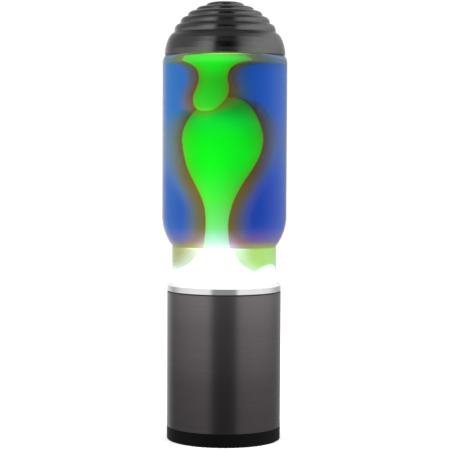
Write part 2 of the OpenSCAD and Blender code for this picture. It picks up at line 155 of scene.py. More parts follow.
# ---- Mesh tools ----

LOFT_SIDES = 72
LOFT_STEPS = 6       # rings between two sections of a soft body
LATHE_SIDES = 160
BOTTLE_SIDES = 192
LOFT_LEAST_R = 0.05  # least radius of a ring, so that it doesn't shrink to a point
LATHE_LEAST_R = 0.02


def new_object(name, verts, faces, smooth=True):
    """An object from points in millimetres."""
    mesh = bpy.data.meshes.new(name)
    mesh.from_pydata([tuple(mm(c) for c in v) for v in verts], [], faces)
    mesh.polygons.foreach_set("use_smooth", [smooth] * len(mesh.polygons))
    mesh.update()
    obj = bpy.data.objects.new(name, mesh)
    bpy.context.scene.collection.objects.link(obj)
    return obj


def arc(centre, radius, start, end, steps):
    """Points [radius, height] along an arc, angles in degrees."""
    angles = np.radians(np.linspace(start, end, steps + 1))
    return [(centre[0] + radius * math.cos(a), centre[1] + radius * math.sin(a)) for a in angles]


def smooth_path(points, steps):
    """A smooth curve through rows of numbers, with this many steps between two rows."""
    rows = np.array(points, float)
    rows = np.vstack([2 * rows[0] - rows[1], rows, 2 * rows[-1] - rows[-2]])
    out = []
    for i in range(1, len(rows) - 2):
        before, start, end, after = rows[i - 1:i + 3]
        for t in np.arange(steps) / steps:
            out.append(0.5 * (2 * start + (end - before) * t
                + (2 * before - 5 * start + 4 * end - after) * t ** 2
                + (3 * start - before - 3 * end + after) * t ** 3))
    out.append(rows[-2])
    return np.array(out)


def rings_to_mesh(rings):
    """Points and faces of a closed skin over rings of equal length, each end closed at its middle."""
    sides = len(rings[0])
    verts = [v for ring in rings for v in ring]
    faces = []
    for i in range(len(rings) - 1):
        for j in range(sides):
            k = (j + 1) % sides
            faces.append((i * sides + j, i * sides + k, (i + 1) * sides + k, (i + 1) * sides + j))
    for ring, first, turn in ((rings[0], 0, -1), (rings[-1], (len(rings) - 1) * sides, 1)):
        middle = len(verts)
        verts.append(tuple(np.mean(ring, axis=0)))
        for j in range(sides):
            edge = (first + j, first + (j + 1) % sides)
            faces.append((*edge[::turn], middle))
    return verts, faces


def circle(centre, radius, z, sides):
    """Points round a level circle."""
    angles = np.linspace(0, 2 * math.pi, sides, endpoint=False)
    return [(centre[0] + radius * math.cos(a), centre[1] + radius * math.sin(a), z) for a in angles]


def lathe(name, profile, sides=LATHE_SIDES):
    """A closed solid of revolution about the lamp's axis from [radius, height] points."""
    verts, faces = rings_to_mesh([circle((0, 0), max(r, LATHE_LEAST_R), z, sides) for r, z in profile])
    return new_object(name, verts, faces)


def loft(sections):
    """Points and faces of a soft body through sections (height, middle x, middle y, radius)."""
    path = smooth_path(sections, LOFT_STEPS)
    return rings_to_mesh([circle((x, y), max(r, LOFT_LEAST_R), z, LOFT_SIDES) for z, x, y, r in path])


def joined(name, parts):
    """One object of several (points, faces) parts."""
    verts, faces = [], []
    for part_verts, part_faces in parts:
        start = len(verts)
        verts += part_verts
        faces += [tuple(i + start for i in face) for face in part_faces]
    return new_object(name, verts, faces)


def bake_modifiers(obj):
    """Applies an object's modifiers to its mesh."""
    graph = bpy.context.evaluated_depsgraph_get()
    mesh = bpy.data.meshes.new_from_object(obj.evaluated_get(graph))
    old = obj.data
    obj.modifiers.clear()
    obj.data = mesh
    bpy.data.meshes.remove(old)
    mesh.name = obj.name
    mesh.polygons.foreach_set("use_smooth", [True] * len(mesh.polygons))


def melt(obj, voxel, rounds):
    """Melts overlapping bodies into one skin and evens it out."""
    remesh = obj.modifiers.new("remesh", "REMESH")
    remesh.mode = "VOXEL"
    remesh.voxel_size = mm(voxel)
    soften = obj.modifiers.new("soften", "SMOOTH")
    soften.factor = 0.6
    soften.iterations = rounds
    bake_modifiers(obj)


def inner_radius(z):
    """Radius of the bottle's inner wall at a height, up to just under the end of its top shoulder."""
    if z < NECK_TOP:
        return NECK_IN
    if z < SHOULDER_Z:
        return BODY_R - SHOULDER_R + math.sqrt((SHOULDER_R - WALL) ** 2 - (SHOULDER_Z - z) ** 2)
    if z < CROWN_Z:
        return BODY_R - WALL
    rise = min(z - CROWN_Z, CROWN_R - WALL - 0.2)
    return BODY_R - CROWN_R + math.sqrt((CROWN_R - WALL) ** 2 - rise ** 2)


def keep_inside(obj, gap):
    """Pulls points in so that they stay this far inside the bottle's wall."""
    for v in obj.data.vertices:
        limit = mm(inner_radius(v.co.z * 1000) - gap)
        radius = math.hypot(v.co.x, v.co.y)
        if radius > limit:
            v.co.x *= limit / radius
            v.co.y *= limit / radius


def ripple(obj, size, depth):
    """Moves points along their normals by smooth noise, so that a body isn't perfectly round."""
    moves = [v.normal * noise.noise(v.co * (1000 / size)) * mm(depth) for v in obj.data.vertices]
    for v, move in zip(obj.data.vertices, moves):
        v.co += move


# ---- Material tools ----

class Graph:
    """A node tree, and short calls that add nodes to it."""

    def __init__(self, tree):
        self.nodes = tree.nodes
        self.links = tree.links

    def fill(self, socket, value):
        """Links a socket to another node's output, or gives it a value of its own."""
        if isinstance(value, bpy.types.NodeSocket):
            self.links.new(value, socket)
        elif socket.type == "RGBA":
            socket.default_value = (*value, 1.0)
        else:
            socket.default_value = value

    def add(self, kind, **inputs):
        """A new node; the names of its inputs are written with _ for a space."""
        node = self.nodes.new("ShaderNode" + kind)
        for name, value in inputs.items():
            self.fill(node.inputs[name.replace("_", " ")], value)
        return node

    def math(self, operation, *values):
        """The result of a Math node."""
        node = self.nodes.new("ShaderNodeMath")
        node.operation = operation
        for socket, value in zip(node.inputs, values):
            self.fill(socket, value)
        return node.outputs[0]

    def times(self, first, second):
        return self.math("MULTIPLY", first, second)

    def blend(self, amount, first, second):
        """A number that goes from the first to the second as the amount goes from 0 to 1."""
        return self.math("MULTIPLY_ADD", amount, self.math("SUBTRACT", second, first), first)

    def spread(self, value, low, high, out_low=0.0, out_high=1.0):
        """Maps low..high to out_low..out_high, and holds the value at both ends."""
        node = self.add("MapRange", Value=value, From_Min=low, From_Max=high, To_Min=out_low, To_Max=out_high)
        return node.outputs["Result"]

    def curve(self, value, spots, straight=False):
        """A number looked up on a curve through spots (place, number), all of them from 0 to 1."""
        node = self.add("FloatCurve", Value=value)
        points = node.mapping.curves[0].points
        points[0].location, points[1].location = spots[0], spots[-1]
        for spot in spots[1:-1]:
            points.new(*spot)
        if straight:
            for point in points:
                point.handle_type = "VECTOR"
        node.mapping.update()
        return node.outputs["Value"]


class Look(Graph):
    """A material with one Principled shader, and short calls that add the nodes in front of it."""

    def __init__(self, name, **plain):
        self.mat = bpy.data.materials.new(name)
        self.mat.use_nodes = True
        super().__init__(self.mat.node_tree)
        self.shader = self.nodes["Principled BSDF"]
        self.output = self.nodes["Material Output"]
        for socket, value in plain.items():
            self.put(socket.replace("_", " "), value)

    def put(self, socket, value):
        """Sets or links one of the shader's sockets."""
        self.fill(self.shader.inputs[socket], value)

    def coords(self, scale=(1, 1, 1)):
        """Object coordinates, in metres, times a scale."""
        place = self.add("Mapping", Vector=self.add("TexCoord").outputs["Object"], Scale=scale)
        return place.outputs["Vector"]

    def place(self):
        """Where a point lies, in metres: x, y and z."""
        return self.add("SeparateXYZ", Vector=self.coords()).outputs

    def height(self):
        return self.place()["Z"]

    def noise(self, scale, detail=3.0, stretch=(1, 1, 1)):
        """Smooth noise round 0.5; its scale is in lumps to a metre, times the stretch."""
        node = self.add("TexNoise", Vector=self.coords(stretch), Scale=float(scale), Detail=detail)
        return node.outputs["Fac"]

    def ramp(self, value, stops):
        """Colours along a value from 0 to 1."""
        node = self.add("ValToRGB", Fac=value)
        band = node.color_ramp
        for i, (place, colour) in enumerate(stops):
            stop = band.elements[i] if i < 2 else band.elements.new(place)
            stop.position = place
            stop.color = (*colour, 1.0)
        return node.outputs["Color"]

    def mix(self, value, first, second):
        """A colour between two."""
        node = self.add("Mix")
        node.data_type = "RGBA"
        self.fill(node.inputs[0], value)
        for socket, colour in zip((s for s in node.inputs if s.type == "RGBA"), (first, second)):
            self.fill(socket, colour)
        return next(s for s in node.outputs if s.type == "RGBA")

    def colour(self, value, first, second):
        """Gives the shader a colour between two."""
        self.put("Base Color", self.mix(value, first, second))

    def rough(self, value, low, high):
        """Makes the roughness follow a noise."""
        self.put("Roughness", self.spread(value, 0.3, 0.7, low, high))

    def bump(self, height, strength, depth):
        """Makes the surface follow a noise, this deep."""
        node = self.add("Bump", Height=height, Strength=strength, Distance=mm(depth))
        self.put("Normal", node.outputs["Normal"])

    def lines_round_axis(self):
        """Turns the shader's brushing to run round the lamp."""
        node = self.add("Tangent")
        node.direction_type = "RADIAL"
        node.axis = "Z"
        self.put("Tangent", node.outputs["Tangent"])

    def volume(self, parts):
        """Fills the material with haze: parts are (absorb or light, strength, colour)."""
        total = None
        for kind, level, colour in parts:
            if kind == "absorb":
                part = self.add("VolumeAbsorption", Color=colour, Density=level).outputs[0]
            else:
                part = self.add("Emission", Color=colour, Strength=level).outputs[0]
            if total is not None:
                both = self.nodes.new("ShaderNodeAddShader")
                self.fill(both.inputs[0], total)
                self.fill(both.inputs[1], part)
                part = both.outputs[0]
            total = part
        self.fill(self.output.inputs["Volume"], total)


def shade(colour, factor):
    """A colour made darker or lighter."""
    return tuple(c * factor for c in colour)


# ---- Plain materials ----

def plastic(name, colour, rough=0.5, grain=0.6, depth=0.03):
    """Moulded plastic or rubber: a fine sparked grain and slight unevenness."""
    look = Look(name, IOR=1.5)
    look.colour(look.noise(60, 4), shade(colour, 0.8), shade(colour, 1.2))
    look.rough(look.noise(1000 / grain, 2), rough - 0.06, rough + 0.08)
    look.bump(look.noise(1000 / grain, 3), 0.35, depth)
    return look.mat


def metal(name, colour, rough=0.3, grain=(30, 30, 30), depth=0.01):
    """Bare or plated metal with a soft mottle and fine marks."""
    look = Look(name, Metallic=1.0)
    look.colour(look.noise(90, 5), shade(colour, 0.85), shade(colour, 1.08))
    marks = look.noise(60, 4, grain)
    look.rough(marks, rough - 0.06, rough + 0.08)
    look.bump(marks, 0.2, depth)
    return look.mat


def ceramic(name, colour):
    """Glazed steatite: specks in a cream body and a soft shine."""
    look = Look(name, Coat_Weight=0.3, Coat_Roughness=0.15)
    specks = look.ramp(look.noise(900, 2), ((0.62, shade(colour, 1.0)), (0.72, shade(colour, 0.6))))
    look.put("Base Color", specks)
    look.rough(look.noise(120), 0.32, 0.5)
    look.bump(look.noise(300, 4), 0.2, 0.05)
    return look.mat


# The sleeve's colour with painted shade, darker towards the foot, from its foot (0) to its top (1)
SLEEVE_PAINTED_SHADE = ((0.0, (0.066, 0.058, 0.062)), (0.32, (0.083, 0.073, 0.078)), (0.54, (0.121, 0.108, 0.115)),
    (0.76, (0.148, 0.133, 0.140)), (0.97, (0.195, 0.182, 0.188)))


def brushed_sleeve():
    """Dark anodised aluminium, brushed round the axis, with painted shade that darkens it towards the foot.
    """
    look = Look("brushed_sleeve", Metallic=1.0, Anisotropic=0.75, Anisotropic_Rotation=0.25)
    lines = look.noise(1, 3, (14, 14, 2600))
    broad = look.noise(1, 2, (8, 8, 260))
    # painted shade: the sleeve's colour darkens from its top down to its foot
    painted_shade = look.ramp(look.spread(look.height(), mm(SLEEVE_LOW.z), mm(SLEEVE_HIGH.z)), SLEEVE_PAINTED_SHADE)
    dark = look.mix(look.spread(lines, 0.35, 0.65, 0.0, 0.08), painted_shade, (0.03, 0.027, 0.03))
    look.colour(look.spread(broad, 0.3, 0.7, 0.0, 0.03), dark, (0.2, 0.19, 0.195))
    look.rough(lines, 0.31, 0.39)
    look.bump(lines, 0.15, 0.01)
    look.lines_round_axis()
    return look.mat


RING_EDGE = 1.8     # how far below the ring's top its plain upper edge begins


def polished_ring():
    """Turned aluminium with faint lathe lines and a plain upper edge."""
    look = Look("polished_ring", Anisotropic=0.4, Anisotropic_Rotation=0.25)
    edge = mm(RING_TOP - RING_EDGE)
    plain = look.spread(look.height(), edge, edge + mm(0.4))
    look.put("Metallic", look.math("SUBTRACT", 1.0, plain))
    lines = look.noise(1, 3, (10, 10, 4000))
    bright = look.mix(look.noise(50, 4), (0.80, 0.80, 0.82), (0.90, 0.90, 0.91))
    look.colour(plain, bright, (0.66, 0.66, 0.67))
    look.rough(lines, 0.12, 0.22)
    look.bump(lines, 0.15, 0.006)
    look.lines_round_axis()
    return look.mat


def satin_cap():
    """Dark grey satin lacquer on spun metal, with a fine orange peel."""
    look = Look("satin_cap", Metallic=1.0)
    look.colour(look.noise(40, 5), (0.165, 0.162, 0.165), (0.205, 0.202, 0.205))
    look.rough(look.noise(160, 4), 0.17, 0.24)
    look.bump(look.noise(900, 2), 0.12, 0.02)
    return look.mat


def foot_plastic():
    """Black moulded plastic with a fine spark texture."""
    look = Look("foot_plastic", IOR=1.5, Specular_IOR_Level=0.06)
    look.colour(look.noise(35, 5), (0.0012, 0.0012, 0.0014), (0.003, 0.0028, 0.003))
    grain = look.noise(1400, 2)
    look.rough(grain, 0.42, 0.58)
    look.bump(grain, 0.4, 0.03)
    return look.mat


def clear_glass():
    """Blown bottle glass with faint waves in it."""
    look = Look("clear_glass", Base_Color=(1.0, 1.0, 1.0), Roughness=0.0, IOR=1.5, Transmission_Weight=1.0,
        Specular_Tint=(0.07, 0.07, 0.07))
    look.bump(look.noise(22, 2, (1, 1, 0.5)), 0.05, 0.4)
    look.volume([("absorb", 16.0, (0.35, 0.2, 1.0))])
    return look.mat


def blue_liquid():
    """Clear liquid whose blue comes from its depth."""
    look = Look("blue_liquid", Base_Color=(1.0, 1.0, 1.0), Roughness=0.0, IOR=1.38, Transmission_Weight=1.0,
        Specular_Tint=(0.05, 0.05, 0.05))
    look.volume([("absorb", 56.0, (0.0, 0.58, 0.836))])
    return look.mat


# ---- The painted light and shade in the liquid ----

# Each part of the painted light and shade in the liquid: what it does (absorb paints shade and tint, light
# paints glow), where (see the functions below), how strongly (one number, or numbers by height), and in which
# colour
PAINTED_HAZE = (
    ("absorb", "close", ((156, 10.0), (172, 50.0)), (0.9, 0.3, 0.0)),
    ("absorb", "middle", ((148, 12.0), (162, 45.0), (180, 125.0), (200, 125.0), (240, 50.0), (265, 60.0),
        (290, 85.0), (312, 85.0)), (0.9, 0.50, 0.0)),
    ("absorb", "hanging_right", 28.0, (0.9, 0.6, 0.0)),
    ("absorb", "between", 30.0, (0.9, 0.75, 0.0)),
    ("absorb", "up_from_neck", 22.0, (0.95, 0.5, 0.2)),
    ("absorb", "corner_sides", 62.0, (1.0, 1.0, 0.0)),
    ("absorb", "in_neck", 14.0, (1.0, 1.0, 0.0)),
    # painted shade: the liquid deeper to the right and lower down
    ("absorb", "right", 7.0, (1.0, 0.0, 0.8)),
    ("absorb", "lower", 5.0, (1.0, 0.0, 0.75)),
    ("absorb", "upper", 30.0, (0.8, 0.6, 0.0)),
    ("light", "close_lit", ((160, 26.0), (240, 22.0), (275, 14.0), (312, 10.0)), (1.0, 0.25, 0.0)),
    ("light", "close_lit", ((160, 32.0), (200, 30.0), (218, 9.0), (236, 0.0)), (0.35, 1.0, 0.05)),
    ("light", "riser", ((156, 0.0), (160, 40.0), (167, 26.0), (176, 0.0)), (0.3, 0.8, 1.2)),
    ("light", "wide_lit", ((148, 30.0), (157, 70.0), (162, 150.0), (180, 200.0), (196, 190.0), (218, 100.0),
        (240, 54.0), (256, 46.0), (265, 38.0), (276, 20.0), (290, 18.0), (312, 18.0)), (1.0, 0.25, 0.02)),
    ("light", "far_up_from_neck", 13.0, (1.0, 0.22, 0.05)),
    ("light", "corner", 10.0, (1.0, 1.5, 0.0)),
    ("light", "corner_right", 11.0, (0.4, 1.0, 0.0)),
    ("light", "in_neck", 13.0, (0.72, 0.76, 0.14)),
    ("light", "neck_right", 19.0, (0.10, 1.0, 0.10)),
    ("light", "neck_low", 3.0, (1.0, 0.65, 0.6)),
    ("light", "pool", 60.0, (0.98, 0.98, 1.0)),
    ("light", "mound", ((130, 40.0), (140, 50.0), (145, 72.0), (150, 112.0), (156, 130.0)),
        (1.30, 0.80, 1.25)),
    ("light", "mound_wide", ((149, 0.0), (153.5, 14.0), (158, 115.0), (163, 75.0), (174, 0.0)),
        (0.75, 1.05, 1.5)),
    ("light", "between", 4.0, (1.0, 0.75, 0.4)),
    ("light", "flare", 26.0, (0.25, 1.0, 0.15)),
    ("light", "upper", 7.0, (1.1, 0.95, 0.75)),
    # painted light and shade over the liquid, in the space under the cap
    ("absorb", "painted_light_over_liquid", 20.0, (1.0, 1.0, 0.3)),
    ("light", "painted_light_over_liquid", 5.0, (0.78, 0.64, 0.5)),
    ("light", "painted_light_over_liquid_middle", 75.0, (0.1, 1.0, 0.25)),
)
HAZE_STEP_RATE = 0.25
# How strong "between" and "lower" are, by height
BETWEEN = ((256, 0.0), (265, 1.0), (281, 1.0), (293, 0.3), (302, 0.0))
LOWER = ((150, 0.0), (157, 0.0), (165, 0.9), (190, 1.0), (245, 0.0), (260, 0.0))


class PaintedHaze(Look):
    """A volume in the bottle for painted light and shade, and calls that say where in it a point lies."""

    def __init__(self, name):
        super().__init__(name)
        self.nodes.remove(self.shader)
        self.fill(self.output.inputs["Surface"], self.add("BsdfTransparent").outputs[0])
        self.mat.cycles.volume_step_rate = HAZE_STEP_RATE
        self.x, self.y, self.z = self.place()

    def step(self, value, low, high):
        """0 up to one length and 1 from another on, or the other way round; lengths in millimetres."""
        return self.spread(value, mm(low), mm(high))

    def near(self, distance, reach):
        """1 at a body's skin, falling smoothly to 0 at some millimetres away."""
        node = self.add("MapRange", Value=distance, From_Min=0.0, From_Max=mm(reach), To_Min=1.0, To_Max=0.0)
        node.interpolation_type = "SMOOTHERSTEP"
        return node.outputs["Result"]

    def by_height(self, pairs, low, high):
        """A number looked up by height from pairs of (height, number from low to high)."""
        start, end = pairs[0][0], pairs[-1][0]
        spots = [((z - start) / (end - start), (value - low) / (high - low)) for z, value in pairs]
        value = self.curve(self.step(self.z, start, end), spots)
        return self.math("MULTIPLY_ADD", value, high - low, low)

    def scaled(self, amount, strength):
        """An amount times a number, or times numbers by height."""
        if isinstance(strength, tuple):
            strength = self.by_height(strength, 0.0, max(value for _, value in strength))
        return self.times(amount, strength)

    def distance(self, sections):
        """Level distance from a lofted body, growing past its ends; and 0 in front of it to 1 beside it."""
        first, last = sections[0], sections[-1]
        past, widest = 30, mm(40)
        rows = [(first[0] - past, *first[1:3], -past), *sections, (last[0] + past, *last[1:3], -past)]
        middle_x, middle_y, radius = (self.by_height([(row[0], mm(row[i])) for row in rows], -widest, widest)
            for i in (1, 2, 3))
        away_x = self.math("SUBTRACT", self.x, middle_x)
        away_y = self.math("SUBTRACT", self.y, middle_y)
        squares = self.math("MULTIPLY_ADD", away_x, away_x, self.times(away_y, away_y))
        return self.math("SUBTRACT", self.math("SQRT", squares), radius), self.step(away_y, -16, -5)


def places_at_wax(look, right):
    """Where the haze is near a body of wax; "lit" leaves out what stands in front of it."""
    riser, riser_side = look.distance(RISER)
    hanging, hanging_side = look.distance(HANGING)
    mound, _ = look.distance(MOUND)
    clear = look.spread(riser, mm(12), mm(21), 0.1, 1.0)
    one_side = look.spread(look.x, 0.0, mm(20), 1.0, 0.62)

    def halo(reach):
        """Nearness to the riser or to the hanging wax, whole and lit."""
        one = look.near(riser, reach)
        two = look.times(look.near(hanging, reach), clear)
        lit = look.math("MAXIMUM", look.times(one, riser_side), look.times(two, hanging_side))
        return look.math("MAXIMUM", one, two), lit

    close, close_lit = halo(5.0)
    hanging_right = look.times(look.near(hanging, 24.0), right)
    return {
        "close": close,
        "close_lit": close_lit,
        "middle": halo(13.0)[0],
        "wide_lit": look.times(halo(16.5)[1], one_side),
        "hanging_right": hanging_right,
        "between": look.scaled(hanging_right, BETWEEN),
        "riser": look.near(riser, 12.0),
        "mound": look.near(mound, 13.0),
        "mound_wide": look.near(mound, 15.0),
        "flare": look.times(look.near(hanging, 9.0), look.step(look.z, 299, 307)),
    }


def places_at_neck(look, right, aside):
    """Where the haze is in the bottle's lower neck and above it; the whole neck counts as near its top."""
    above = look.math("SUBTRACT", look.z, mm(NECK_TOP))
    in_neck = look.step(above, 3, -2)
    corner = look.times(look.near(above, 9.0), look.step(above, 0.5, 3))
    corner_sides = look.times(corner, look.step(aside, 10, 24))
    return {
        "up_from_neck": look.near(above, 16.0),
        "far_up_from_neck": look.near(above, 21.0),
        "in_neck": in_neck,
        "neck_right": look.times(in_neck, right),
        "neck_low": look.step(look.z, 151, 140),
        "corner": corner,
        "corner_sides": corner_sides,
        "corner_right": look.times(corner_sides, right),
        "pool": look.times(look.step(look.z, 138, 130), look.step(look.z, 119, 126)),
    }


def places_in_body(look, right, aside):
    """Where the haze is in the wide body and in the space over the liquid."""
    # painted light over the liquid's surface
    painted_light_over_liquid = look.step(look.z, LIQUID_TOP, LIQUID_TOP + 0.2)
    return {
        "right": right,
        "lower": look.by_height(LOWER, 0.0, 1.0),
        "upper": look.step(look.z, LIQUID_TOP - 6, LIQUID_TOP - 2),
        "painted_light_over_liquid": painted_light_over_liquid,
        "painted_light_over_liquid_middle": look.times(painted_light_over_liquid, look.step(aside, 34, 17)),
    }


def painted_warm_glow():
    """Painted light and shade in the liquid: orange at the wax, olive further out, yellow-green over the
    white pool.
    """
    look = PaintedHaze("painted_warm_glow")
    right = look.step(look.x, -12, 24)
    aside = look.math("ABSOLUTE", look.x)
    places = {
        **places_at_wax(look, right),
        **places_at_neck(look, right, aside),
        **places_in_body(look, right, aside),
    }
    # painted light and shade: emission and absorption set by nearness to the wax, height and side
    look.volume([(kind, look.scaled(places[place], strength), colour)
        for kind, place, strength, colour in PAINTED_HAZE])
    return look.mat


# ---- Wax and light ----

# Painted light in the wax, as emission that stands for the bulb's light through it: height, colour, strength
WAX_PAINTED_GLOW = (
    (104, (1.0, 0.84, 0.60), 0.6),
    (119, (1.0, 0.90, 0.72), 0.8),
    (127, (1.0, 1.0, 1.0), 9.0),
    (150, (0.9, 0.95, 1.0), 9.0),
    (157, (1.20, 0.95, 1.0), 7.0),
    (162, (1.25, 1.0, 0.66), 6.0),
    (167, (0.95, 1.0, 0.38), 5.2),
    (178, (0.34, 1.0, 0.11), 7.0),
    (196, (0.085, 1.0, 0.030), 6.8),
    (222, (0.006, 1.0, 0.006), 4.1),
    (246, (0.001, 1.0, 0.005), 3.0),
    (258, (0.006, 1.0, 0.03), 2.7),
    (270, (0.010, 1.0, 0.03), 1.3),
    (290, (0.002, 1.0, 0.02), 1.05),
    (308, (0.002, 1.0, 0.01), 2.1),
)
WAX_LOW, WAX_HIGH = 100.0, 320.0
# Painted light in the lump, as emission, from its foot (0) to its top (1)
LUMP_PAINTED_GLOW = ((0.0, (1.0, 1.0, 1.0)), (0.6, (0.85, 0.85, 0.85)), (0.85, (0.50, 0.58, 0.60)),
    (1.0, (0.30, 0.44, 0.50)))


def glowing_wax():
    """Translucent wax with painted light: its emission stands for the bulb's light through it from below,
    white in the foot of the bottle, then green.
    """
    look = Look("glowing_wax", Roughness=0.45, Specular_IOR_Level=0.05)
    level = look.spread(look.height(), mm(WAX_LOW), mm(WAX_HIGH))
    peak = max(strength for _, _, strength in WAX_PAINTED_GLOW)
    light = look.ramp(level, [((z - WAX_LOW) / (WAX_HIGH - WAX_LOW), shade(colour, strength / peak))
        for z, colour, strength in WAX_PAINTED_GLOW])
    cloud = look.spread(look.noise(45, 3), 0.3, 0.7, 0.0, 0.16)
    # painted light: the wax's emission by height stands for the bulb's light shining through it
    look.put("Emission Color", look.mix(cloud, light, (0.0, 0.06, 0.0)))
    look.put("Emission Strength", peak)
    look.colour(look.noise(120, 4), (0.002, 0.30, 0.004), (0.004, 0.36, 0.006))
    look.bump(look.noise(160, 3), 0.1, 0.15)
    return look.mat


def lump_wax():
    """White wax with painted light: its emission stands for the lamp's light, less than the pool's, cooler
    towards its top.
    """
    look = Look("lump_wax", Roughness=0.45, Specular_IOR_Level=0.05, Emission_Strength=2.0)
    rise = look.spread(look.height(), mm(LUMP[0][0]), mm(LUMP[-1][0]))
    cloud = look.spread(look.noise(60, 3), 0.3, 0.7, -0.05, 0.05)
    # painted light: the lump's emission, brighter at its foot and cooler towards its top
    look.put("Emission Color", look.ramp(look.math("ADD", rise, cloud), LUMP_PAINTED_GLOW))
    look.colour(look.noise(120, 4), (0.40, 0.45, 0.42), (0.50, 0.55, 0.52))
    look.bump(look.noise(160, 3), 0.1, 0.15)
    return look.mat


def lit_bulb_face():
    """Reflector glass: silvered sides, and a frosted face that glows."""
    look = Look("reflector_glass", Roughness=0.3, Emission_Strength=6.0)
    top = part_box("bulb_glass")[1].z
    face = look.spread(look.height(), top - mm(7.5), top - mm(6))
    look.colour(face, (0.75, 0.75, 0.74), (0.95, 0.93, 0.88))
    look.put("Metallic", look.spread(face, 0.0, 1.0, 0.9, 0.0))
    look.put("Emission Color", look.mix(face, (0.0, 0.0, 0.0), (1.0, 0.86, 0.62)))
    look.bump(look.noise(900, 2), 0.2, 0.05)
    return look.mat


def glowing_wire():
    """The bulb's filament."""
    look = Look("glowing_wire", Roughness=0.5, Emission_Color=(1.0, 0.62, 0.25), Emission_Strength=20.0)
    look.colour(look.noise(800), (0.3, 0.28, 0.25), (0.5, 0.45, 0.4))
    return look.mat


# ---- Pieces ----

def use(piece, mat):
    """Gives a piece one material."""
    piece.data.materials.clear()
    piece.data.materials.append(mat)


def in_bottle(piece, mat, slot, *nodes):
    """Sets a piece's material, makes it ride with the bottle, and hides the nodes it stands for; the slot is
    not used.
    """
    use(piece, mat)
    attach(piece, "bottle")
    if nodes:
        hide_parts(*nodes)


def wax_body(mat):
    """The pool in the neck, its mound, and the blob that rises from it, as one body of wax."""
    profile = ((30, POOL_FLOOR), (36, POOL_FLOOR + 3), (NECK_IN - POOL_GAP, POOL_FLOOR + 8),
        (NECK_IN - POOL_GAP, POOL_EDGE), (NECK_IN - 3, POOL_TOP))
    pool = rings_to_mesh([circle((0, 0), r, z, POOL_SIDES) for r, z in profile])
    body = joined("wax_body", [pool, loft(MOUND), loft(RISER)])
    melt(body, voxel=1.2, rounds=10)
    ripple(body, size=22, depth=0.7)
    keep_inside(body, gap=0.4)
    in_bottle(body, mat, "green_wax", "wax_riser", "wax_pool")


def wax_hanging(mat):
    """The layer of wax under the liquid's surface and the lump that hangs from it."""
    body = joined("wax_hanging", [loft(HANGING)])
    melt(body, voxel=1.2, rounds=8)
    ripple(body, size=20, depth=0.6)
    keep_inside(body, gap=0.5)
    in_bottle(body, mat, "green_wax", "wax_pendant")


def wax_lump(mat):
    """The smaller mound that leans on the glass at the right."""
    body = joined("wax_lump", [loft(LUMP)])
    melt(body, voxel=1.0, rounds=6)
    keep_inside(body, gap=0.4)
    in_bottle(body, mat, "lit_wax", "wax_side_mound")


def punt(low, reach, steps):
    """The raised foot of the bottle from its middle outward, as [radius, height] points."""
    return [(r, low + PUNT * (1 - (r / PUNT_R) ** 2)) for r in np.linspace(0, reach, steps)]


def side_profile(inward):
    """The bottle's side from its heel to its top shoulder, moved inward, as [radius, height] points."""
    heel_z = GLASS_LOW.z + HEEL_R
    neck = NECK_R - inward
    body = BODY_R - inward
    turn = math.degrees(SHOULDER_TURN)
    points = arc((NECK_R - HEEL_R, heel_z), HEEL_R - inward, -88, 0, steps=10)
    points += [(neck, heel_z + 0.5), (neck, NECK_TOP - 0.8)]
    points += arc((BODY_R - SHOULDER_R, SHOULDER_Z), SHOULDER_R - inward, -turn, 0, steps=40)
    points += [(body, SHOULDER_Z + 0.5), (body, CROWN_Z - 0.5)]
    return points + arc((BODY_R - CROWN_R, CROWN_Z), CROWN_R - inward, 0, CROWN_TURN, steps=16)


def bottle_body(mat):
    """The bottle as one smooth skin: foot with a raised middle, neck, body, shoulder and mouth."""
    foot = punt(GLASS_LOW.z, PUNT_R, steps=12)
    mouth = [(r, GLASS_HIGH.z + z) for r, z in MOUTH]
    inside = [(r, z + WALL) for r, z in foot if r < PUNT_R - WALL]
    profile = foot + side_profile(0) + mouth + side_profile(WALL)[::-1] + inside[::-1]
    in_bottle(lathe("bottle_body", profile, BOTTLE_SIDES), mat, "bottle_glass", "bottle_glass")


def liquid_body(mat):
    """The liquid, a little way into the glass wall so that no air shows between them."""
    side = [(r, z) for r, z in side_profile(WALL - INTO_GLASS) if z < LIQUID_TOP]
    foot = punt(FOOT_INSIDE - INTO_GLASS, PUNT_R - WALL, steps=10)
    surface = [(side[-1][0] - 0.3, LIQUID_TOP), (0, LIQUID_TOP)]
    in_bottle(lathe("liquid_body", foot + side + surface), mat, "blue_liquid", "liquid")


def glow_body(mat):
    """The space in the liquid that the painted light and shade fill, and the space over it, just inside the
    bottle's wall.
    """
    heights = np.linspace(GLOW_FLOOR, LIQUID_TOP + GLOW_RISE, GLOW_RINGS)
    side = [(inner_radius(z) - GLOW_GAP, z) for z in heights]
    dome = [(BODY_R - 7.5, LIQUID_TOP + 1.1), (13, GLOW_TOP), (0, GLOW_TOP)]
    in_bottle(lathe("glow_body", [(0, GLOW_FLOOR)] + side + dome), mat, "blue_liquid")


def coil_route():
    """Points along a spring bent into a ring, each with the direction away from the middle of its turn."""
    turn_r = (COIL_HIGH.z - COIL_LOW.z) / 2 - COIL_WIRE_R
    ring_r = COIL_HIGH.x - turn_r - COIL_WIRE_R
    centre_z = (COIL_HIGH.z + COIL_LOW.z) / 2
    steps = COIL_TURNS * COIL_STEPS
    route = []
    for i in range(steps):
        ring = 2 * math.pi * i / steps
        turn = ring * COIL_TURNS
        r = ring_r + turn_r * math.cos(turn)
        point = Vector((r * math.cos(ring), r * math.sin(ring), centre_z + turn_r * math.sin(turn)))
        middle = Vector((point.x, point.y, 0)).normalized() * ring_r + Vector((0, 0, centre_z))
        route.append((point, (point - middle).normalized()))
    return route


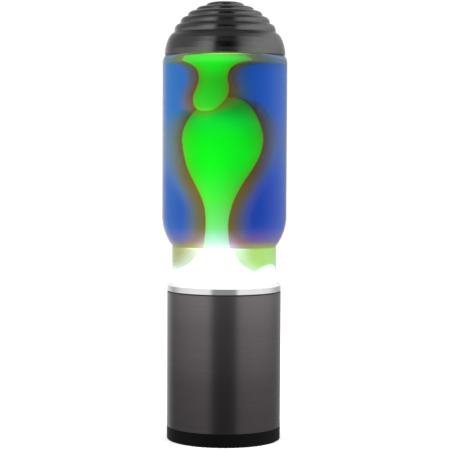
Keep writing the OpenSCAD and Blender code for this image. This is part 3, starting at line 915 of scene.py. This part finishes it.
def coil_wire(mat):
    """The heating coil as one spring of wire bent into a ring."""
    route = coil_route()
    steps, sides = len(route), COIL_SIDES
    verts, faces = [], []
    for i, (point, out) in enumerate(route):
        along = (route[(i + 1) % steps][0] - route[i - 1][0]).normalized()
        side = along.cross(out).normalized()
        up = (i + 1) % steps
        for j in range(sides):
            a = 2 * math.pi * j / sides
            verts.append(tuple(point + (out * math.cos(a) + side * math.sin(a)) * COIL_WIRE_R))
            k = (j + 1) % sides
            faces.append((i * sides + j, i * sides + k, up * sides + k, up * sides + j))
    in_bottle(new_object("coil_wire", verts, faces), mat, "plated_steel", "heating_coil")


def dress_frame():
    """Gives every CAD node that stays its material."""
    steel = metal("plated_steel", (0.62, 0.61, 0.58), 0.32)
    brass = metal("contact_brass", (0.72, 0.5, 0.2), 0.28)
    black = plastic("black_plastic", (0.012, 0.011, 0.012))
    rubber = plastic("pad_rubber", (0.02, 0.02, 0.02), 0.8, 0.4, 0.05)
    cream = ceramic("cream_ceramic", (0.80, 0.76, 0.66))
    looks = {
        "foot": foot_plastic(),
        "foot_pads": rubber,
        "base_sleeve": brushed_sleeve(),
        "collar_ring": polished_ring(),
        "bottle_seat": black,
        "seat_cushion": plastic("silicone_cushion", (0.55, 0.53, 0.48), 0.55, 0.5, 0.04),
        "holder_nipple": metal("zinc_tube", (0.60, 0.57, 0.45), 0.35, (20, 20, 900)),
        "lampholder_body": cream,
        "screw_shell": brass,
        "centre_contact": brass,
        "holder_terminals": brass,
        "terminal_block": cream,
        "live_lead": plastic("brown_insulation", (0.15, 0.05, 0.02), 0.45),
        "neutral_lead": plastic("blue_insulation", (0.03, 0.12, 0.42), 0.45),
        "cord_grommet": rubber,
        "bulb_glass": lit_bulb_face(),
        "bulb_cap": metal("bulb_cap_metal", (0.78, 0.78, 0.77), 0.2),
        "bulb_insulator": plastic("black_glass", (0.006, 0.006, 0.008), 0.15, 2.0, 0.02),
        "bulb_contact": metal("solder", (0.55, 0.54, 0.52), 0.4),
        "bulb_stem": ceramic("stem_glass", (0.8, 0.85, 0.85)),
        "filament": glowing_wire(),
        "crown_liner": plastic("crown_liner", (0.75, 0.75, 0.7), 0.6),
        "top_cap": satin_cap(),
        "cap_gasket": plastic("clear_silicone", (0.62, 0.60, 0.64), 0.3, 1.5, 0.02),
    }
    for name, node in NODES.items():
        use(node, looks.get(name, steel))


def build_bottle():
    """Makes the bottle and all that is in it."""
    wax = glowing_wax()
    wax_body(wax)
    wax_hanging(wax)
    wax_lump(lump_wax())
    bottle_body(clear_glass())
    liquid_body(blue_liquid())
    glow_body(painted_warm_glow())
    coil_wire(metal("coil_steel", (0.55, 0.55, 0.54), 0.3))


# ---- Floor and light ----

FLOOR_R = 4000
FLOOR_DEPTH = 2
FLOOR_SIDES = 96
LAMP_SIZE_M = 0.9
LAMP_POWER = 22
LAMP_AIM_M = Vector((0, 0, 0.15))

# How bright the studio is round the lamp, as degrees from the front (+ is the right) and brightness
STUDIO_LOW = ((-180, 1.0), (-150, 0.8), (-125, 0.42), (-98, 0.75), (-70, 0.92), (-29, 0.92), (-22, 0.30),
    (23, 0.30), (29, 0.92), (80, 0.90), (105, 0.80), (125, 0.52), (150, 0.45), (180, 0.9))
STUDIO_HIGH = ((-180, 0.6), (-120, 0.30), (-74, 0.30), (-62, 0.45), (-40, 0.90), (-25, 0.72), (-19, 0.0),
    (22, 0.0), (28, 0.22), (38, 0.55), (50, 0.68), (64, 0.92), (110, 0.90), (150, 0.6), (180, 0.6))
STUDIO_TOP = 0.15                # how bright it is overhead
LOW_TO_HIGH = (0.05, 0.30)       # where low gives way to high, as the upward part of a direction
HIGH_TO_TOP = (0.55, 0.85)
ROOM_LIGHT = 1.08                # how bright the room is for all but reflections


def make_floor():
    """A plain pale slab that doesn't show in reflections."""
    rings = [circle((0, 0), FLOOR_R, z, FLOOR_SIDES) for z in (-FLOOR_DEPTH, 0)]
    floor = new_object("floor", *rings_to_mesh(rings), smooth=False)
    look = Look("pale_floor", Roughness=0.9, Specular_IOR_Level=0.0)
    look.colour(look.noise(3, 2), (0.92, 0.92, 0.92), (0.94, 0.94, 0.94))
    use(floor, look.mat)
    floor.visible_glossy = False


def make_light(name, place):
    """A soft lamp that points at the bottle, its place in metres."""
    data = bpy.data.lights.new(name, "AREA")
    data.shape = "RECTANGLE"
    data.size = LAMP_SIZE_M
    data.size_y = LAMP_SIZE_M
    data.energy = LAMP_POWER
    lamp = bpy.data.objects.new(name, data)
    lamp.location = place
    lamp.rotation_euler = (LAMP_AIM_M - Vector(place)).to_track_quat("-Z", "Y").to_euler()
    lamp.visible_glossy = False
    lamp.visible_transmission = False
    bpy.context.scene.collection.objects.link(lamp)


def make_studio():
    """A white room; in reflections it has a soft box on each side and a dark gap at the front."""
    world = bpy.data.worlds.new("studio")
    world.use_nodes = True
    bpy.context.scene.world = world
    world.node_tree.nodes.clear()
    room = Graph(world.node_tree)
    x, y, z = room.add("SeparateXYZ", Vector=room.add("TexCoord").outputs["Generated"]).outputs
    turn = room.math("ARCTAN2", x, room.times(y, -1.0))
    along = room.math("MULTIPLY_ADD", turn, 0.5 / math.pi, 0.5)
    low, high = (room.curve(along, [(degrees / 360 + 0.5, value) for degrees, value in spots], straight=True)
        for spots in (STUDIO_LOW, STUDIO_HIGH))
    around = room.blend(room.spread(z, *LOW_TO_HIGH), low, high)
    seen = room.blend(room.spread(z, *HIGH_TO_TOP), around, STUDIO_TOP)
    path = room.add("LightPath")
    mirrored = room.math("SUBTRACT", path.outputs["Is Glossy Ray"], path.outputs["Is Transmission Ray"])
    level = room.blend(room.math("MAXIMUM", mirrored, 0.0), ROOM_LIGHT, seen)
    back = room.add("Background", Color=(1.0, 1.0, 1.0), Strength=level)
    room.add("OutputWorld", Surface=back.outputs[0])


def main():
    scene = bpy.context.scene
    scene.view_settings.view_transform = "Standard"
    scene.cycles.max_bounces = 20
    scene.cycles.transmission_bounces = 16
    scene.cycles.transparent_max_bounces = 24
    scene.cycles.sample_clamp_indirect = 3.0
    make_camera()
    dress_frame()
    build_bottle()
    make_floor()
    make_studio()
    make_light("left_lamp", (-1.1, -0.9, 1.4))
    make_light("right_lamp", (1.2, -0.7, 1.4))


main()
